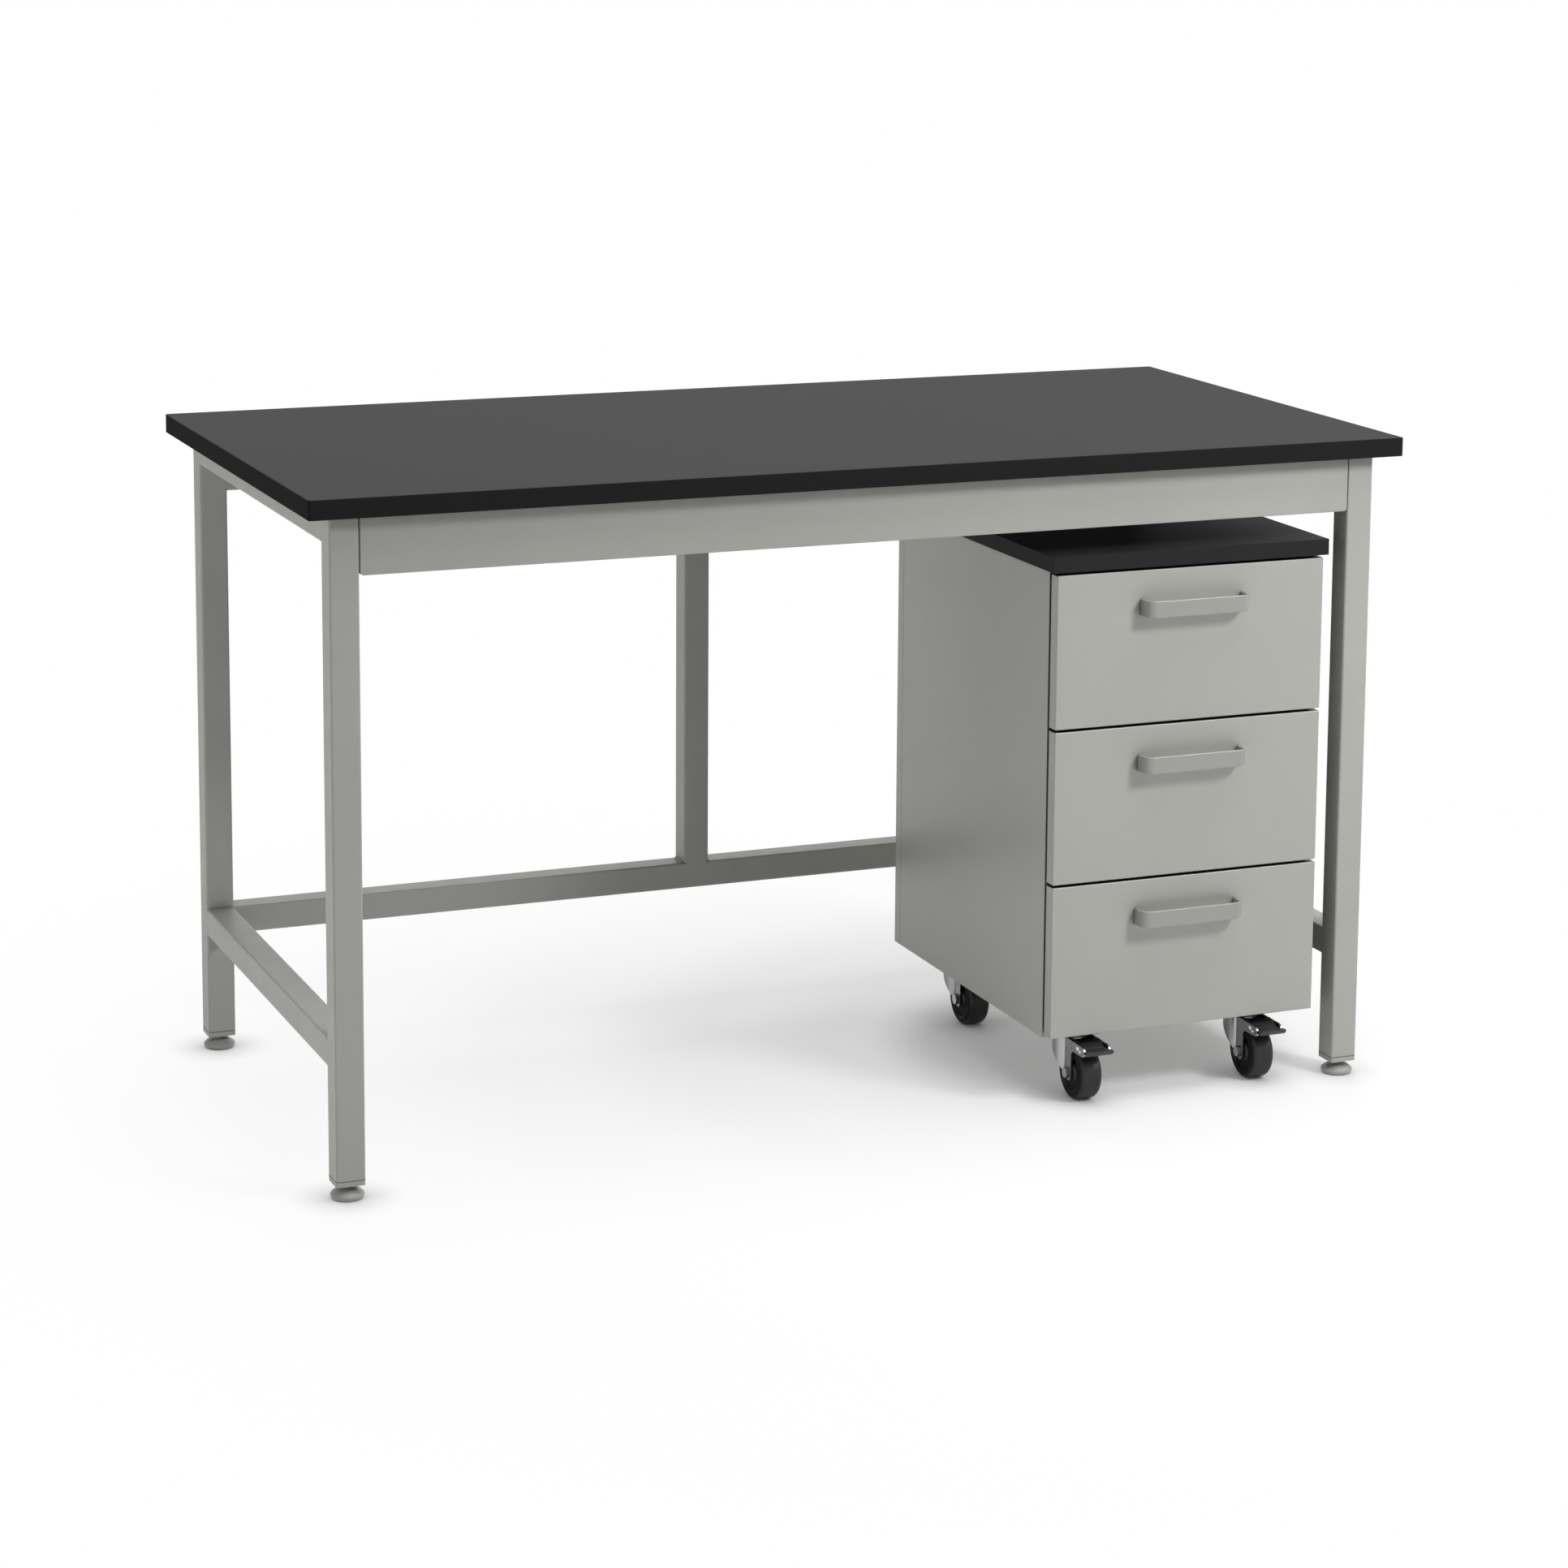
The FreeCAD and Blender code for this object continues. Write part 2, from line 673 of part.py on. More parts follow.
def fork_profile():
    """The side view of the fork as a prism across the caster; reach is forward of the axle."""
    half = fork_crown_radius + overrun

    def at(reach, z):
        return vec(-half, -caster_trail - reach, z)

    rear = -caster_trail - half
    skirt_z = web_top - fork_skirt
    rear_corner = (-fork_rear_reach, skirt_z)
    tip = (fork_tip_reach, wheel_radius - fork_tip_drop)
    tip_rear = touch_point(rear_corner, tip, fork_tip_radius, 1)
    front = fork_tip_reach + fork_tip_radius
    ear_low = web_top - fork_ear_depth
    throat = fork_throat_radius
    throat_mid = throat * (1 - math.sqrt(2) / 2)
    nose = (fork_ear_reach - fork_nose_radius, ear_low + fork_nose_radius)
    level_end = (fork_ear_level, web_top)
    nose_top = touch_point(level_end, nose, fork_nose_radius, -1)
    wire = Part.Wire([
        line(at(rear, web_top), at(rear, skirt_z)),
        line(at(rear, skirt_z), at(*rear_corner)),
        line(at(*rear_corner), at(*tip_rear)),
        arc(at(*tip_rear), at(fork_tip_reach, tip[1] - fork_tip_radius), at(front, tip[1])),
        line(at(front, tip[1]), at(front, ear_low - throat)),
        arc(at(front, ear_low - throat), at(front + throat_mid, ear_low - throat_mid),
            at(front + throat, ear_low)),
        line(at(front + throat, ear_low), at(nose[0], ear_low)),
        arc(at(nose[0], ear_low), at(fork_ear_reach, nose[1]), at(*nose_top)),
        line(at(*nose_top), at(*level_end)),
        line(at(*level_end), at(rear, web_top)),
    ])
    return Part.Face(wire).extrude(vec(2 * half, 0, 0))


def fork_plan(inset, front, z_span):
    """A plan with a round crown at the rear and straight cheeks that run forward from it."""
    half_width = fork_half_width - inset
    slab = block((-half_width, half_width), (front, 0), z_span)
    return slab.fuse(upright(fork_crown_radius - inset, 0, 0, z_span))


def make_fork(braked):
    """A pressed yoke with its swivel race, its axle holes and, with a brake, its pedal holes."""
    front = -caster_trail - fork_tip_reach - fork_tip_radius
    if braked:
        front = -caster_trail - fork_ear_reach
    shell = fork_plan(0, front, (0, web_top))
    shell = shell.cut(fork_plan(fork_sheet, front - overrun, (-overrun, web_top + overrun)))
    cheeks = shell.common(fork_profile())
    web_front = -caster_trail + fork_web_setback
    web = fork_plan(fork_sheet / 2, web_front, (web_underside, web_top))
    race = upright(race_radius, 0, 0, (web_top, race_top))
    fork = cheeks.fuse([web, race]).removeSplitter()
    pin_span = (web_underside - overrun, race_top + overrun)
    fork = fork.cut(upright(king_pin_radius + king_pin_clearance, 0, 0, pin_span))
    across = (-fork_half_width - overrun, fork_half_width + overrun)
    fork = fork.cut(crosswise(axle_radius + axle_hole_clearance, across, -caster_trail, wheel_radius))
    if braked:
        pivot_y = -caster_trail - pedal_pivot_reach
        pivot_z = wheel_radius + pedal_pivot_rise
        fork = fork.cut(crosswise(pedal_pin_radius + pedal_pin_clearance, across, pivot_y, pivot_z))
    return fork


def make_wheel():
    """A solid wheel turned about its axle."""
    tread = wheel_tread_width / 2
    web = wheel_web_width / 2
    hub = fork_half_width - fork_sheet - wheel_side_gap
    bore = axle_radius + axle_clearance
    shoulder_mid = wheel_shoulder * (1 - math.sqrt(2) / 2)
    shoulder_r = wheel_radius - wheel_shoulder
    round_x = tread - shoulder_mid
    round_r = wheel_radius - shoulder_mid

    def at(x, r):
        return vec(x, -caster_trail, wheel_radius + r)

    def half(side):
        return [
            line(at(side * hub, bore), at(side * hub, wheel_hub_radius)),
            line(at(side * hub, wheel_hub_radius), at(side * web, wheel_hub_radius + wheel_draft)),
            line(at(side * web, wheel_hub_radius + wheel_draft), at(side * web, wheel_rim_radius)),
            line(at(side * web, wheel_rim_radius), at(side * tread, wheel_rim_radius + wheel_draft)),
            line(at(side * tread, wheel_rim_radius + wheel_draft), at(side * tread, shoulder_r)),
            arc(at(side * tread, shoulder_r), at(side * round_x, round_r),
                at(side * (tread - wheel_shoulder), wheel_radius)),
        ]

    crown = line(at(wheel_shoulder - tread, wheel_radius), at(tread - wheel_shoulder, wheel_radius))
    bore_line = line(at(hub, bore), at(-hub, bore))
    edges = Part.sortEdges(half(-1) + [crown] + half(1) + [bore_line])[0]
    return Part.Face(Part.Wire(edges)).revolve(at(0, 0), X_AXIS, 360)


def hexagon(x_span, y, z):
    """A hexagonal head along X."""
    radius = axle_head_flats / math.sqrt(3)
    angles = [math.radians(60 * k) for k in range(6)]
    corners = [(radius * math.cos(angle), radius * math.sin(angle)) for angle in angles]
    points = [vec(x_span[0], y + along, z + rise) for along, rise in corners]
    return outline(points).extrude(vec(x_span[1] - x_span[0], 0, 0))


def make_axle():
    """A bolt through the fork with its head on the left and its nut on the right."""
    left_seat = (-fork_half_width - axle_head_height, -fork_half_width)
    right_seat = (fork_half_width, fork_half_width + axle_head_height)
    shaft = crosswise(axle_radius, (left_seat[0], right_seat[1]), -caster_trail, wheel_radius)
    heads = [hexagon(span, -caster_trail, wheel_radius) for span in (left_seat, right_seat)]
    return shaft.fuse(heads).removeSplitter()


def make_pedal():
    """A rocking brake pedal with a turned-up toe, hung between the ears on two stub pins."""
    half = fork_half_width - fork_sheet - pedal_side_gap

    def at(half_width, reach, rise):
        return vec(-half_width, -caster_trail - reach, wheel_radius + rise)

    profile = [
        (pedal_rear_reach, pedal_rear_rise), (pedal_shoulder_reach, pedal_shoulder_rise),
        (pedal_brow_reach, pedal_brow_rise),
        (pedal_waist_reach, pedal_waist_rise), (pedal_tip_reach, pedal_tip_rise),
        (pedal_tip_reach, pedal_tip_rise - pedal_lip_plate), (pedal_lip_reach, pedal_lip_rise),
        (pedal_pivot_reach + pedal_pin_radius, pedal_pivot_rise - 2 * pedal_pin_radius),
        (pedal_pivot_reach - pedal_pin_radius, pedal_pivot_rise - 2 * pedal_pin_radius),
        (pedal_shoulder_reach, pedal_shoulder_rise - 2 * pedal_plate),
        (pedal_rear_reach, pedal_rear_rise - pedal_plate),
    ]
    body = outline([at(half, reach, rise) for reach, rise in profile]).extrude(vec(2 * half, 0, 0))
    wide = pedal_toe_half_width
    toe = outline([at(wide, reach, rise) for reach, rise in profile]).extrude(vec(2 * wide, 0, 0))
    toe_span = (-caster_trail - pedal_tip_reach - overrun, -caster_trail - pedal_toe_start)
    toe = toe.common(block((-wide - overrun, wide + overrun), toe_span, (0, plate_underside)))
    pin = crosswise(pedal_pin_radius, (-fork_half_width, fork_half_width),
                    -caster_trail - pedal_pivot_reach, wheel_radius + pedal_pivot_rise)
    return body.fuse([toe, pin]).removeSplitter()


def make_casters():
    plates = [caster_plate(x, y) for x, y in caster_places.values()]
    bolts = [caster_bolt(x, y) for x, y in bolt_places()]
    hole_span = (plate_underside - overrun, carcass_bottom_z + overrun)
    holes = [upright(bolt_radius + bolt_hole_clearance, x, y, hole_span) for x, y in bolt_places()]
    save(group([plate.cut(holes) for plate in plates]), "caster_plates")
    save(group(bolts), "caster_bolts")
    for name, (x, y) in caster_places.items():
        braked = name.startswith("front")
        pieces = {
            "caster_fork": make_fork(braked),
            "caster_wheel": make_wheel(),
            "caster_axle": make_axle(),
        }
        if braked:
            pieces["brake_pedal"] = make_pedal()
        for piece_name, piece in pieces.items():
            piece.translate(vec(x, y, 0))
            save(piece, name + "_" + piece_name)


os.makedirs("parts", exist_ok=True)
make_worktop()
make_fixings()
make_frame()
make_apron()
make_feet()
make_carcass()
make_drawers()
make_casters()
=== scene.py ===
import json
import math

import bpy
from mathutils import Matrix, Vector

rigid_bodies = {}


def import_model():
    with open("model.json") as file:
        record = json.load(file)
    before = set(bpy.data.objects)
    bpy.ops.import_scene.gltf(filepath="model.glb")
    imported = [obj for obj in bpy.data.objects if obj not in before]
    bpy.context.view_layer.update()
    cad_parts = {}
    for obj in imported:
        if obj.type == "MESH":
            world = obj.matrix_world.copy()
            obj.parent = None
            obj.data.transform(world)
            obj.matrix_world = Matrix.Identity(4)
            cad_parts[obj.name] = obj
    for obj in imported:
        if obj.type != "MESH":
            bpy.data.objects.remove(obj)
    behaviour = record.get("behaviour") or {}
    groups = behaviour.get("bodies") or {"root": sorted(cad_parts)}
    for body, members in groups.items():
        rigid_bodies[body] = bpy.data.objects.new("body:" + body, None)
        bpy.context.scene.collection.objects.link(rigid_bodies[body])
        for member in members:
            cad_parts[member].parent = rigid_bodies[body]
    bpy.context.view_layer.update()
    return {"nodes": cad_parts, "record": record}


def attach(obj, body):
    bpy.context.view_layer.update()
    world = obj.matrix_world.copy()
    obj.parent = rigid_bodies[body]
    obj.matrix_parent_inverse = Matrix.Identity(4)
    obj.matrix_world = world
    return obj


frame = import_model()
scene = bpy.context.scene
scene.view_settings.view_transform = "Standard"

CORNERS = ("front_left", "front_right", "rear_left", "rear_right")


# Material helpers

NOISE_SPAN = (0.3, 0.7)
MOTTLE_ROUGHNESS = 0.6
GLOSS_DETAIL = 3.0
CREVICE_SAMPLES = 8
SOFT_BLEND, SHARP_BLEND = (0.6, 0.95), (0.9, 0.995)
# The wave texture's bands run through this many radians per metre at a scale of 1
WAVE_RATE = 20.0


def shade(color, factor):
    return tuple(channel * factor for channel in color)


def shader_input(material, name):
    return material.node_tree.nodes["Principled BSDF"].inputs[name]


def new_material(name, color, roughness, metallic=0.0, specular=0.5):
    material = bpy.data.materials.new(name)
    material.use_nodes = True
    shader_input(material, "Base Color").default_value = (*color, 1.0)
    shader_input(material, "Roughness").default_value = roughness
    shader_input(material, "Metallic").default_value = metallic
    shader_input(material, "Specular IOR Level").default_value = specular
    return material


def map_range(tree, value, source, target):
    """Maps a value from one span to another and holds it between the ends."""
    spread = tree.nodes.new("ShaderNodeMapRange")
    spread.inputs["From Min"].default_value, spread.inputs["From Max"].default_value = source
    spread.inputs["To Min"].default_value, spread.inputs["To Max"].default_value = target
    tree.links.new(value, spread.inputs["Value"])
    return spread.outputs["Result"]


def noise(material, scale, detail=2.0, roughness=0.5):
    """A noise pattern in the object's own metres."""
    tree = material.node_tree
    place = tree.nodes.new("ShaderNodeTexCoord")
    texture = tree.nodes.new("ShaderNodeTexNoise")
    texture.inputs["Scale"].default_value = scale
    texture.inputs["Detail"].default_value = detail
    texture.inputs["Roughness"].default_value = roughness
    tree.links.new(place.outputs["Object"], texture.inputs["Vector"])
    return texture.outputs["Fac"]


def bump_by(material, height, strength, distance):
    tree = material.node_tree
    bump = tree.nodes.new("ShaderNodeBump")
    bump.inputs["Strength"].default_value = strength
    bump.inputs["Distance"].default_value = distance
    tree.links.new(height, bump.inputs["Height"])
    tree.links.new(bump.outputs["Normal"], shader_input(material, "Normal"))


def add_grain(material, scale, strength, distance):
    """A fine unevenness of the surface."""
    bump_by(material, noise(material, scale), strength, distance)


def add_ribs(material, spacing, strength, distance):
    """Fine grip ribs across the pedals, one every spacing metres along Y."""
    tree = material.node_tree
    place = tree.nodes.new("ShaderNodeTexCoord")
    wave = tree.nodes.new("ShaderNodeTexWave")
    wave.bands_direction = "Y"
    wave.inputs["Scale"].default_value = 2.0 * math.pi / (WAVE_RATE * spacing)
    tree.links.new(place.outputs["Object"], wave.inputs["Vector"])
    bump_by(material, wave.outputs["Fac"], strength, distance)


def add_mottle(material, scale, dark, light, detail=3.0):
    """Blends two close colours by a noise pattern."""
    tree = material.node_tree
    ramp = tree.nodes.new("ShaderNodeValToRGB")
    for stop, position, color in zip(ramp.color_ramp.elements, NOISE_SPAN, (dark, light)):
        stop.position = position
        stop.color = (*color, 1.0)
    tree.links.new(noise(material, scale, detail, MOTTLE_ROUGHNESS), ramp.inputs["Fac"])
    tree.links.new(ramp.outputs["Color"], shader_input(material, "Base Color"))


def add_uneven_gloss(material, scale, smoothest, roughest):
    """Varies the roughness by a noise pattern."""
    tree = material.node_tree
    roughness = map_range(tree, noise(material, scale, GLOSS_DETAIL), NOISE_SPAN, (smoothest, roughest))
    tree.links.new(roughness, shader_input(material, "Roughness"))


def scale_color(material, factor):
    """Multiplies the base colour by a value that the material works out."""
    tree = material.node_tree
    color = shader_input(material, "Base Color")
    scale = tree.nodes.new("ShaderNodeVectorMath")
    scale.operation = "SCALE"
    tree.links.new(color.links[0].from_socket, scale.inputs[0])
    tree.links.new(factor, scale.inputs["Scale"])
    tree.links.new(scale.outputs["Vector"], color)


def add_painted_crevice_shade(material, distance, depth, closed=0.25, open_air=0.55):
    """Paints shade into the base colour: darker in gaps and near other pieces that are closer than the
    distance, where shade falls.
    """
    tree = material.node_tree
    cover = tree.nodes.new("ShaderNodeAmbientOcclusion")
    cover.samples = CREVICE_SAMPLES
    cover.inputs["Distance"].default_value = distance
    scale_color(material, map_range(tree, cover.outputs["AO"], (closed, open_air), (depth, 1.0)))


def side_faces(material, blend, other_value, side_value):
    """One value on flat sides, which face along X, and another on other faces, with a blend between."""
    tree = material.node_tree
    place = tree.nodes.new("ShaderNodeTexCoord")
    split = tree.nodes.new("ShaderNodeSeparateXYZ")
    tree.links.new(place.outputs["Normal"], split.inputs["Vector"])
    size = tree.nodes.new("ShaderNodeMath")
    size.operation = "ABSOLUTE"
    tree.links.new(split.outputs["X"], size.inputs[0])
    return map_range(tree, size.outputs["Value"], blend, (other_value, side_value))


def add_dull_sides(material, other_value, side_value):
    """Takes the shine off the faces along X."""
    shine = side_faces(material, SOFT_BLEND, other_value, side_value)
    material.node_tree.links.new(shine, shader_input(material, "Specular IOR Level"))


def add_painted_side_shade(material, factor):
    """Paints shade into the base colour of the faces along X, such as the cheeks of the caster forks beside
    their round crowns.
    """
    scale_color(material, side_faces(material, SHARP_BLEND, 1.0, factor))


# Materials

GREY = (0.375, 0.378, 0.350)
CHARCOAL = (0.0148, 0.0148, 0.0149)
EDGE_BLACK = (0.013, 0.013, 0.0132)
TOP_BLACK = (0.025, 0.025, 0.0254)
PLASTIC_GREY = (0.36, 0.363, 0.34)
ZINC = (0.47, 0.476, 0.483)
PLATE_SHADE_BLACK = (0.02, 0.02, 0.021)
BRIGHT_ZINC = (0.8, 0.81, 0.82)
RUBBER_BLACK = (0.011, 0.011, 0.012)
PEDAL_BLACK = (0.026, 0.026, 0.027)
SEAM_DARK = (0.05, 0.05, 0.047)
TRAY_GREY = (0.55, 0.55, 0.53)

frame_paint = new_material("frame powder coat", GREY, roughness=0.45)
add_mottle(frame_paint, scale=7.0, dark=shade(GREY, 0.97), light=shade(GREY, 1.02))
add_grain(frame_paint, scale=900.0, strength=0.05, distance=0.0004)
add_uneven_gloss(frame_paint, scale=40.0, smoothest=0.42, roughest=0.50)
# Painted shade: in tight gaps, and over a wider reach near other pieces, such as the band under the worktop
# and the leg face beside the pedestal
add_painted_crevice_shade(frame_paint, distance=0.006, depth=0.25)
add_painted_crevice_shade(frame_paint, distance=0.075, depth=0.35, closed=0.38, open_air=0.66)

# The handles are in the frame's grey; this darker copy of it is painted shade on them
handle_paint = new_material("handle powder coat", shade(GREY, 0.8), roughness=0.30, specular=0.75)
add_mottle(handle_paint, scale=9.0, dark=shade(GREY, 0.77), light=shade(GREY, 0.80))
add_grain(handle_paint, scale=900.0, strength=0.05, distance=0.0004)
# Painted shade where the handles meet the drawer fronts
add_painted_crevice_shade(handle_paint, distance=0.012, depth=0.2, closed=0.3, open_air=0.7)

board_paint = new_material("pedestal grey", shade(GREY, 0.97), roughness=0.36, specular=0.75)
add_mottle(board_paint, scale=5.0, dark=shade(GREY, 0.95), light=shade(GREY, 0.985))
add_grain(board_paint, scale=1100.0, strength=0.04, distance=0.0004)
add_uneven_gloss(board_paint, scale=30.0, smoothest=0.33, roughest=0.39)
# Painted shade in the gaps round the drawer fronts and under the handles
add_painted_crevice_shade(board_paint, distance=0.018, depth=0.06, closed=0.35, open_air=0.8)

worktop_top = new_material("worktop laminate", CHARCOAL, roughness=0.52, specular=0.06)
add_mottle(worktop_top, scale=1400.0, dark=shade(CHARCOAL, 0.7), light=shade(CHARCOAL, 1.35), detail=2.0)
add_grain(worktop_top, scale=1800.0, strength=0.12, distance=0.0003)

edge_band = new_material("worktop edge band", EDGE_BLACK, roughness=0.5, specular=0.05)
add_mottle(edge_band, scale=1400.0, dark=shade(EDGE_BLACK, 0.85), light=shade(EDGE_BLACK, 1.15), detail=2.0)
add_grain(edge_band, scale=1500.0, strength=0.05, distance=0.0003)
add_dull_sides(edge_band, other_value=0.05, side_value=0.005)
# Painted shade on the edge band's faces along X, at the worktop's ends
add_painted_side_shade(edge_band, factor=0.6)

dark_board = new_material("pedestal top laminate", TOP_BLACK, roughness=0.45, specular=0.02)
add_grain(dark_board, scale=1500.0, strength=0.06, distance=0.0003)

grey_plastic = new_material("grey moulded plastic", PLASTIC_GREY, roughness=0.5)
add_grain(grey_plastic, scale=700.0, strength=0.05, distance=0.0004)


def new_zinc(name):
    material = new_material(name, ZINC, roughness=0.22, metallic=1.0)
    add_mottle(material, scale=120.0, dark=shade(ZINC, 0.94), light=shade(ZINC, 1.05))
    add_uneven_gloss(material, scale=220.0, smoothest=0.17, roughest=0.27)
    add_grain(material, scale=500.0, strength=0.06, distance=0.0003)
    # Painted shade in gaps and near other pieces, such as on the front of the fork crowns
    add_painted_crevice_shade(material, distance=0.012, depth=0.08, closed=0.35, open_air=0.85)
    return material


zinc = new_zinc("zinc plated steel")
# The forks get their own zinc, with painted shade on the flat cheeks along X
shaded_fork_zinc = new_zinc("zinc plated caster forks with painted side shade")
add_painted_side_shade(shaded_fork_zinc, factor=0.55)

# The caster plates and the leaves in the braked forks are near black as painted shade: the plates' front
# edges and the gap over each pedal lie in shade under the pedestal
painted_shade_black = new_material("caster plates and leaves in painted shade", PLATE_SHADE_BLACK, roughness=0.5, specular=0.15)
add_grain(painted_shade_black, scale=500.0, strength=0.06, distance=0.0003)

bright_zinc = new_material("bright rivet heads", BRIGHT_ZINC, roughness=0.22, metallic=1.0)

wheel_black = new_material("black wheel rubber", RUBBER_BLACK, roughness=0.42, specular=0.4)
add_uneven_gloss(wheel_black, scale=90.0, smoothest=0.36, roughest=0.5)
add_dull_sides(wheel_black, other_value=0.4, side_value=0.04)

pedal_black = new_material("black pedal plastic", PEDAL_BLACK, roughness=0.4, specular=0.5)
add_ribs(pedal_black, spacing=0.0042, strength=0.5, distance=0.0006)

seam_dark = new_material("seam shadow", SEAM_DARK, roughness=0.8, specular=0.1)

drawer_steel = new_material("drawer tray paint", TRAY_GREY, roughness=0.5)
add_grain(drawer_steel, scale=900.0, strength=0.04, distance=0.0004)

BY_SLOT = {
    "worktop_board": worktop_top,
    "edge_band": edge_band,
    "frame_paint": frame_paint,
    "zinc_steel": zinc,
    "grey_plastic": grey_plastic,
    "dark_board": dark_board,
    "pedestal_board": board_paint,
    "drawer_paint": drawer_steel,
    "handle_paint": handle_paint,
    "wheel_rubber": wheel_black,
    "pedal_plastic": pedal_black,
}
BY_NODE = {"caster_plates": painted_shade_black}
for corner_name in CORNERS:
    BY_NODE[corner_name + "_caster_fork"] = shaded_fork_zinc
for entry in frame["record"]["subparts"]:
    node = frame["nodes"][entry["node"]]
    node.data.materials.clear()
    node.data.materials.append(BY_NODE.get(entry["node"], BY_SLOT[entry["material_slot"]]))


# Helpers for the small trim

def node_box(name):
    """The low and the high corner of a node."""
    node = frame["nodes"][name]
    corners = [node.matrix_world @ Vector(corner) for corner in node.bound_box]
    return (Vector([min(corner[axis] for corner in corners) for axis in range(3)]),
            Vector([max(corner[axis] for corner in corners) for axis in range(3)]))


def add_piece(name, points, faces, material, body, place=(0.0, 0.0, 0.0), smooth=False):
    """Makes a piece of the scene that rides on a body."""
    mesh = bpy.data.meshes.new(name)
    mesh.from_pydata(points, [], faces)
    if smooth:
        mesh.shade_smooth()
    mesh.materials.append(material)
    piece = bpy.data.objects.new(name, mesh)
    piece.location = place
    scene.collection.objects.link(piece)
    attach(piece, body)


def box_faces(points, faces, spans):
    """Adds one box to a mesh in the making."""
    start = len(points)
    for x in spans[0]:
        for y in spans[1]:
            for z in spans[2]:
                points.append((x, y, z))
    for face in ((0, 1, 3, 2), (4, 6, 7, 5), (0, 4, 5, 1), (2, 3, 7, 6), (0, 2, 6, 4), (1, 5, 7, 3)):
        faces.append(tuple(start + corner for corner in face))


def span_about(middle, length):
    return (middle - length / 2, middle + length / 2)


def shortened(first, last, gap):
    """A span that ends a gap short of both given ends."""
    return (first + gap, last - gap)


# Rivets, and dark pieces of painted shade, on the braked casters, in metres; ahead, behind and below are from
# the pedal's pin

FORK_HALF_WIDTH = 0.020
PIN_HEAD_RADIUS, PIN_HEAD_HEIGHT = 0.0036, 0.0014
NOSE_RIVET_RADIUS, NOSE_RIVET_HEIGHT = 0.0024, 0.0010
NOSE_AHEAD, NOSE_BELOW = 0.0075, 0.003
CHEEK_DOT_RADIUS, CHEEK_DOT_HEIGHT = 0.0013, 0.0002
CHEEK_BEHIND, CHEEK_BELOW = 0.0175, 0.0045
DOME_SEGMENTS, DOME_RINGS = 20, 4
LEAF_HALF_WIDTH, LEAF_HALF_THICKNESS = 0.0172, 0.0006
LEAF_TOP_BEHIND, LEAF_TOP_Z = 0.0405, 0.0842
LEAF_LOW_BEHIND, LEAF_LOW_Z = 0.0215, 0.0770


def brake_joints():
    joints = frame["record"]["behaviour"]["joints"]
    return [joint for joint in joints if joint["name"].endswith("brake_press")]


def dome(name, place, side, radius, height, material, body):
    """A low round head on a face that looks along X to the given side."""
    points = []
    for ring in range(DOME_RINGS):
        angle = 0.5 * math.pi * ring / DOME_RINGS
        spread = radius * math.cos(angle)
        for step in range(DOME_SEGMENTS):
            turn = 2.0 * math.pi * step / DOME_SEGMENTS
            points.append((side * height * math.sin(angle), spread * math.cos(turn), spread * math.sin(turn)))
    points.append((side * height, 0.0, 0.0))
    faces = []
    for ring in range(DOME_RINGS - 1):
        start = ring * DOME_SEGMENTS
        for step in range(DOME_SEGMENTS):
            near, far = start + step, start + (step + 1) % DOME_SEGMENTS
            faces.append((near, far, far + DOME_SEGMENTS, near + DOME_SEGMENTS))
    last = (DOME_RINGS - 1) * DOME_SEGMENTS
    for step in range(DOME_SEGMENTS):
        faces.append((last + step, last + (step + 1) % DOME_SEGMENTS, len(points) - 1))
    if side < 0:
        faces = [tuple(reversed(face)) for face in faces]
    add_piece(name, points, faces, material, body, place, smooth=True)


def make_rivets():
    """Heads on each ear of the braked forks, on the pedal's pin and on the nose, and behind them a small dark
    dot of painted shade where the ear has a hole.
    """
    for joint in brake_joints():
        fork = joint["parent"]
        x, y, z = joint["pos_m"]
        for side, word in ((-1, "left"), (1, "right")):
            face = x + side * FORK_HALF_WIDTH
            label = fork + "_" + word
            dome(label + "_pin_head", (face, y, z), side, PIN_HEAD_RADIUS, PIN_HEAD_HEIGHT, bright_zinc, fork)
            nose = (face, y - NOSE_AHEAD, z - NOSE_BELOW)
            dome(label + "_nose_rivet", nose, side, NOSE_RIVET_RADIUS, NOSE_RIVET_HEIGHT, bright_zinc, fork)
            cheek = (face, y + CHEEK_BEHIND, z - CHEEK_BELOW)
            # The dark dot is painted shade, for the hole in the ear
            dome(label + "_hole_shade_dot", cheek, side, CHEEK_DOT_RADIUS, CHEEK_DOT_HEIGHT, pedal_black, fork)


def make_shade_leaves():
    """A dark leaf in each braked fork, from its web down to behind the pedal, clear of the wheel, as painted
    shade in the gap between the caster plate and the pedal.
    """
    for joint in brake_joints():
        fork = joint["parent"]
        x, y, _ = joint["pos_m"]
        outline = ((y + LEAF_TOP_BEHIND, LEAF_TOP_Z + LEAF_HALF_THICKNESS),
                   (y + LEAF_TOP_BEHIND, LEAF_TOP_Z - LEAF_HALF_THICKNESS),
                   (y + LEAF_LOW_BEHIND, LEAF_LOW_Z - LEAF_HALF_THICKNESS),
                   (y + LEAF_LOW_BEHIND, LEAF_LOW_Z + LEAF_HALF_THICKNESS))
        points = [(x + side * LEAF_HALF_WIDTH, *corner) for side in (-1, 1) for corner in outline]
        faces = [(0, 1, 2, 3), (4, 7, 6, 5)]
        faces += [(step, 4 + step, 4 + (step + 1) % 4, (step + 1) % 4) for step in range(4)]
        add_piece(fork + "_shade_leaf", points, faces, painted_shade_black, fork)


make_rivets()
make_shade_leaves()


# Ground welds and seams, in metres

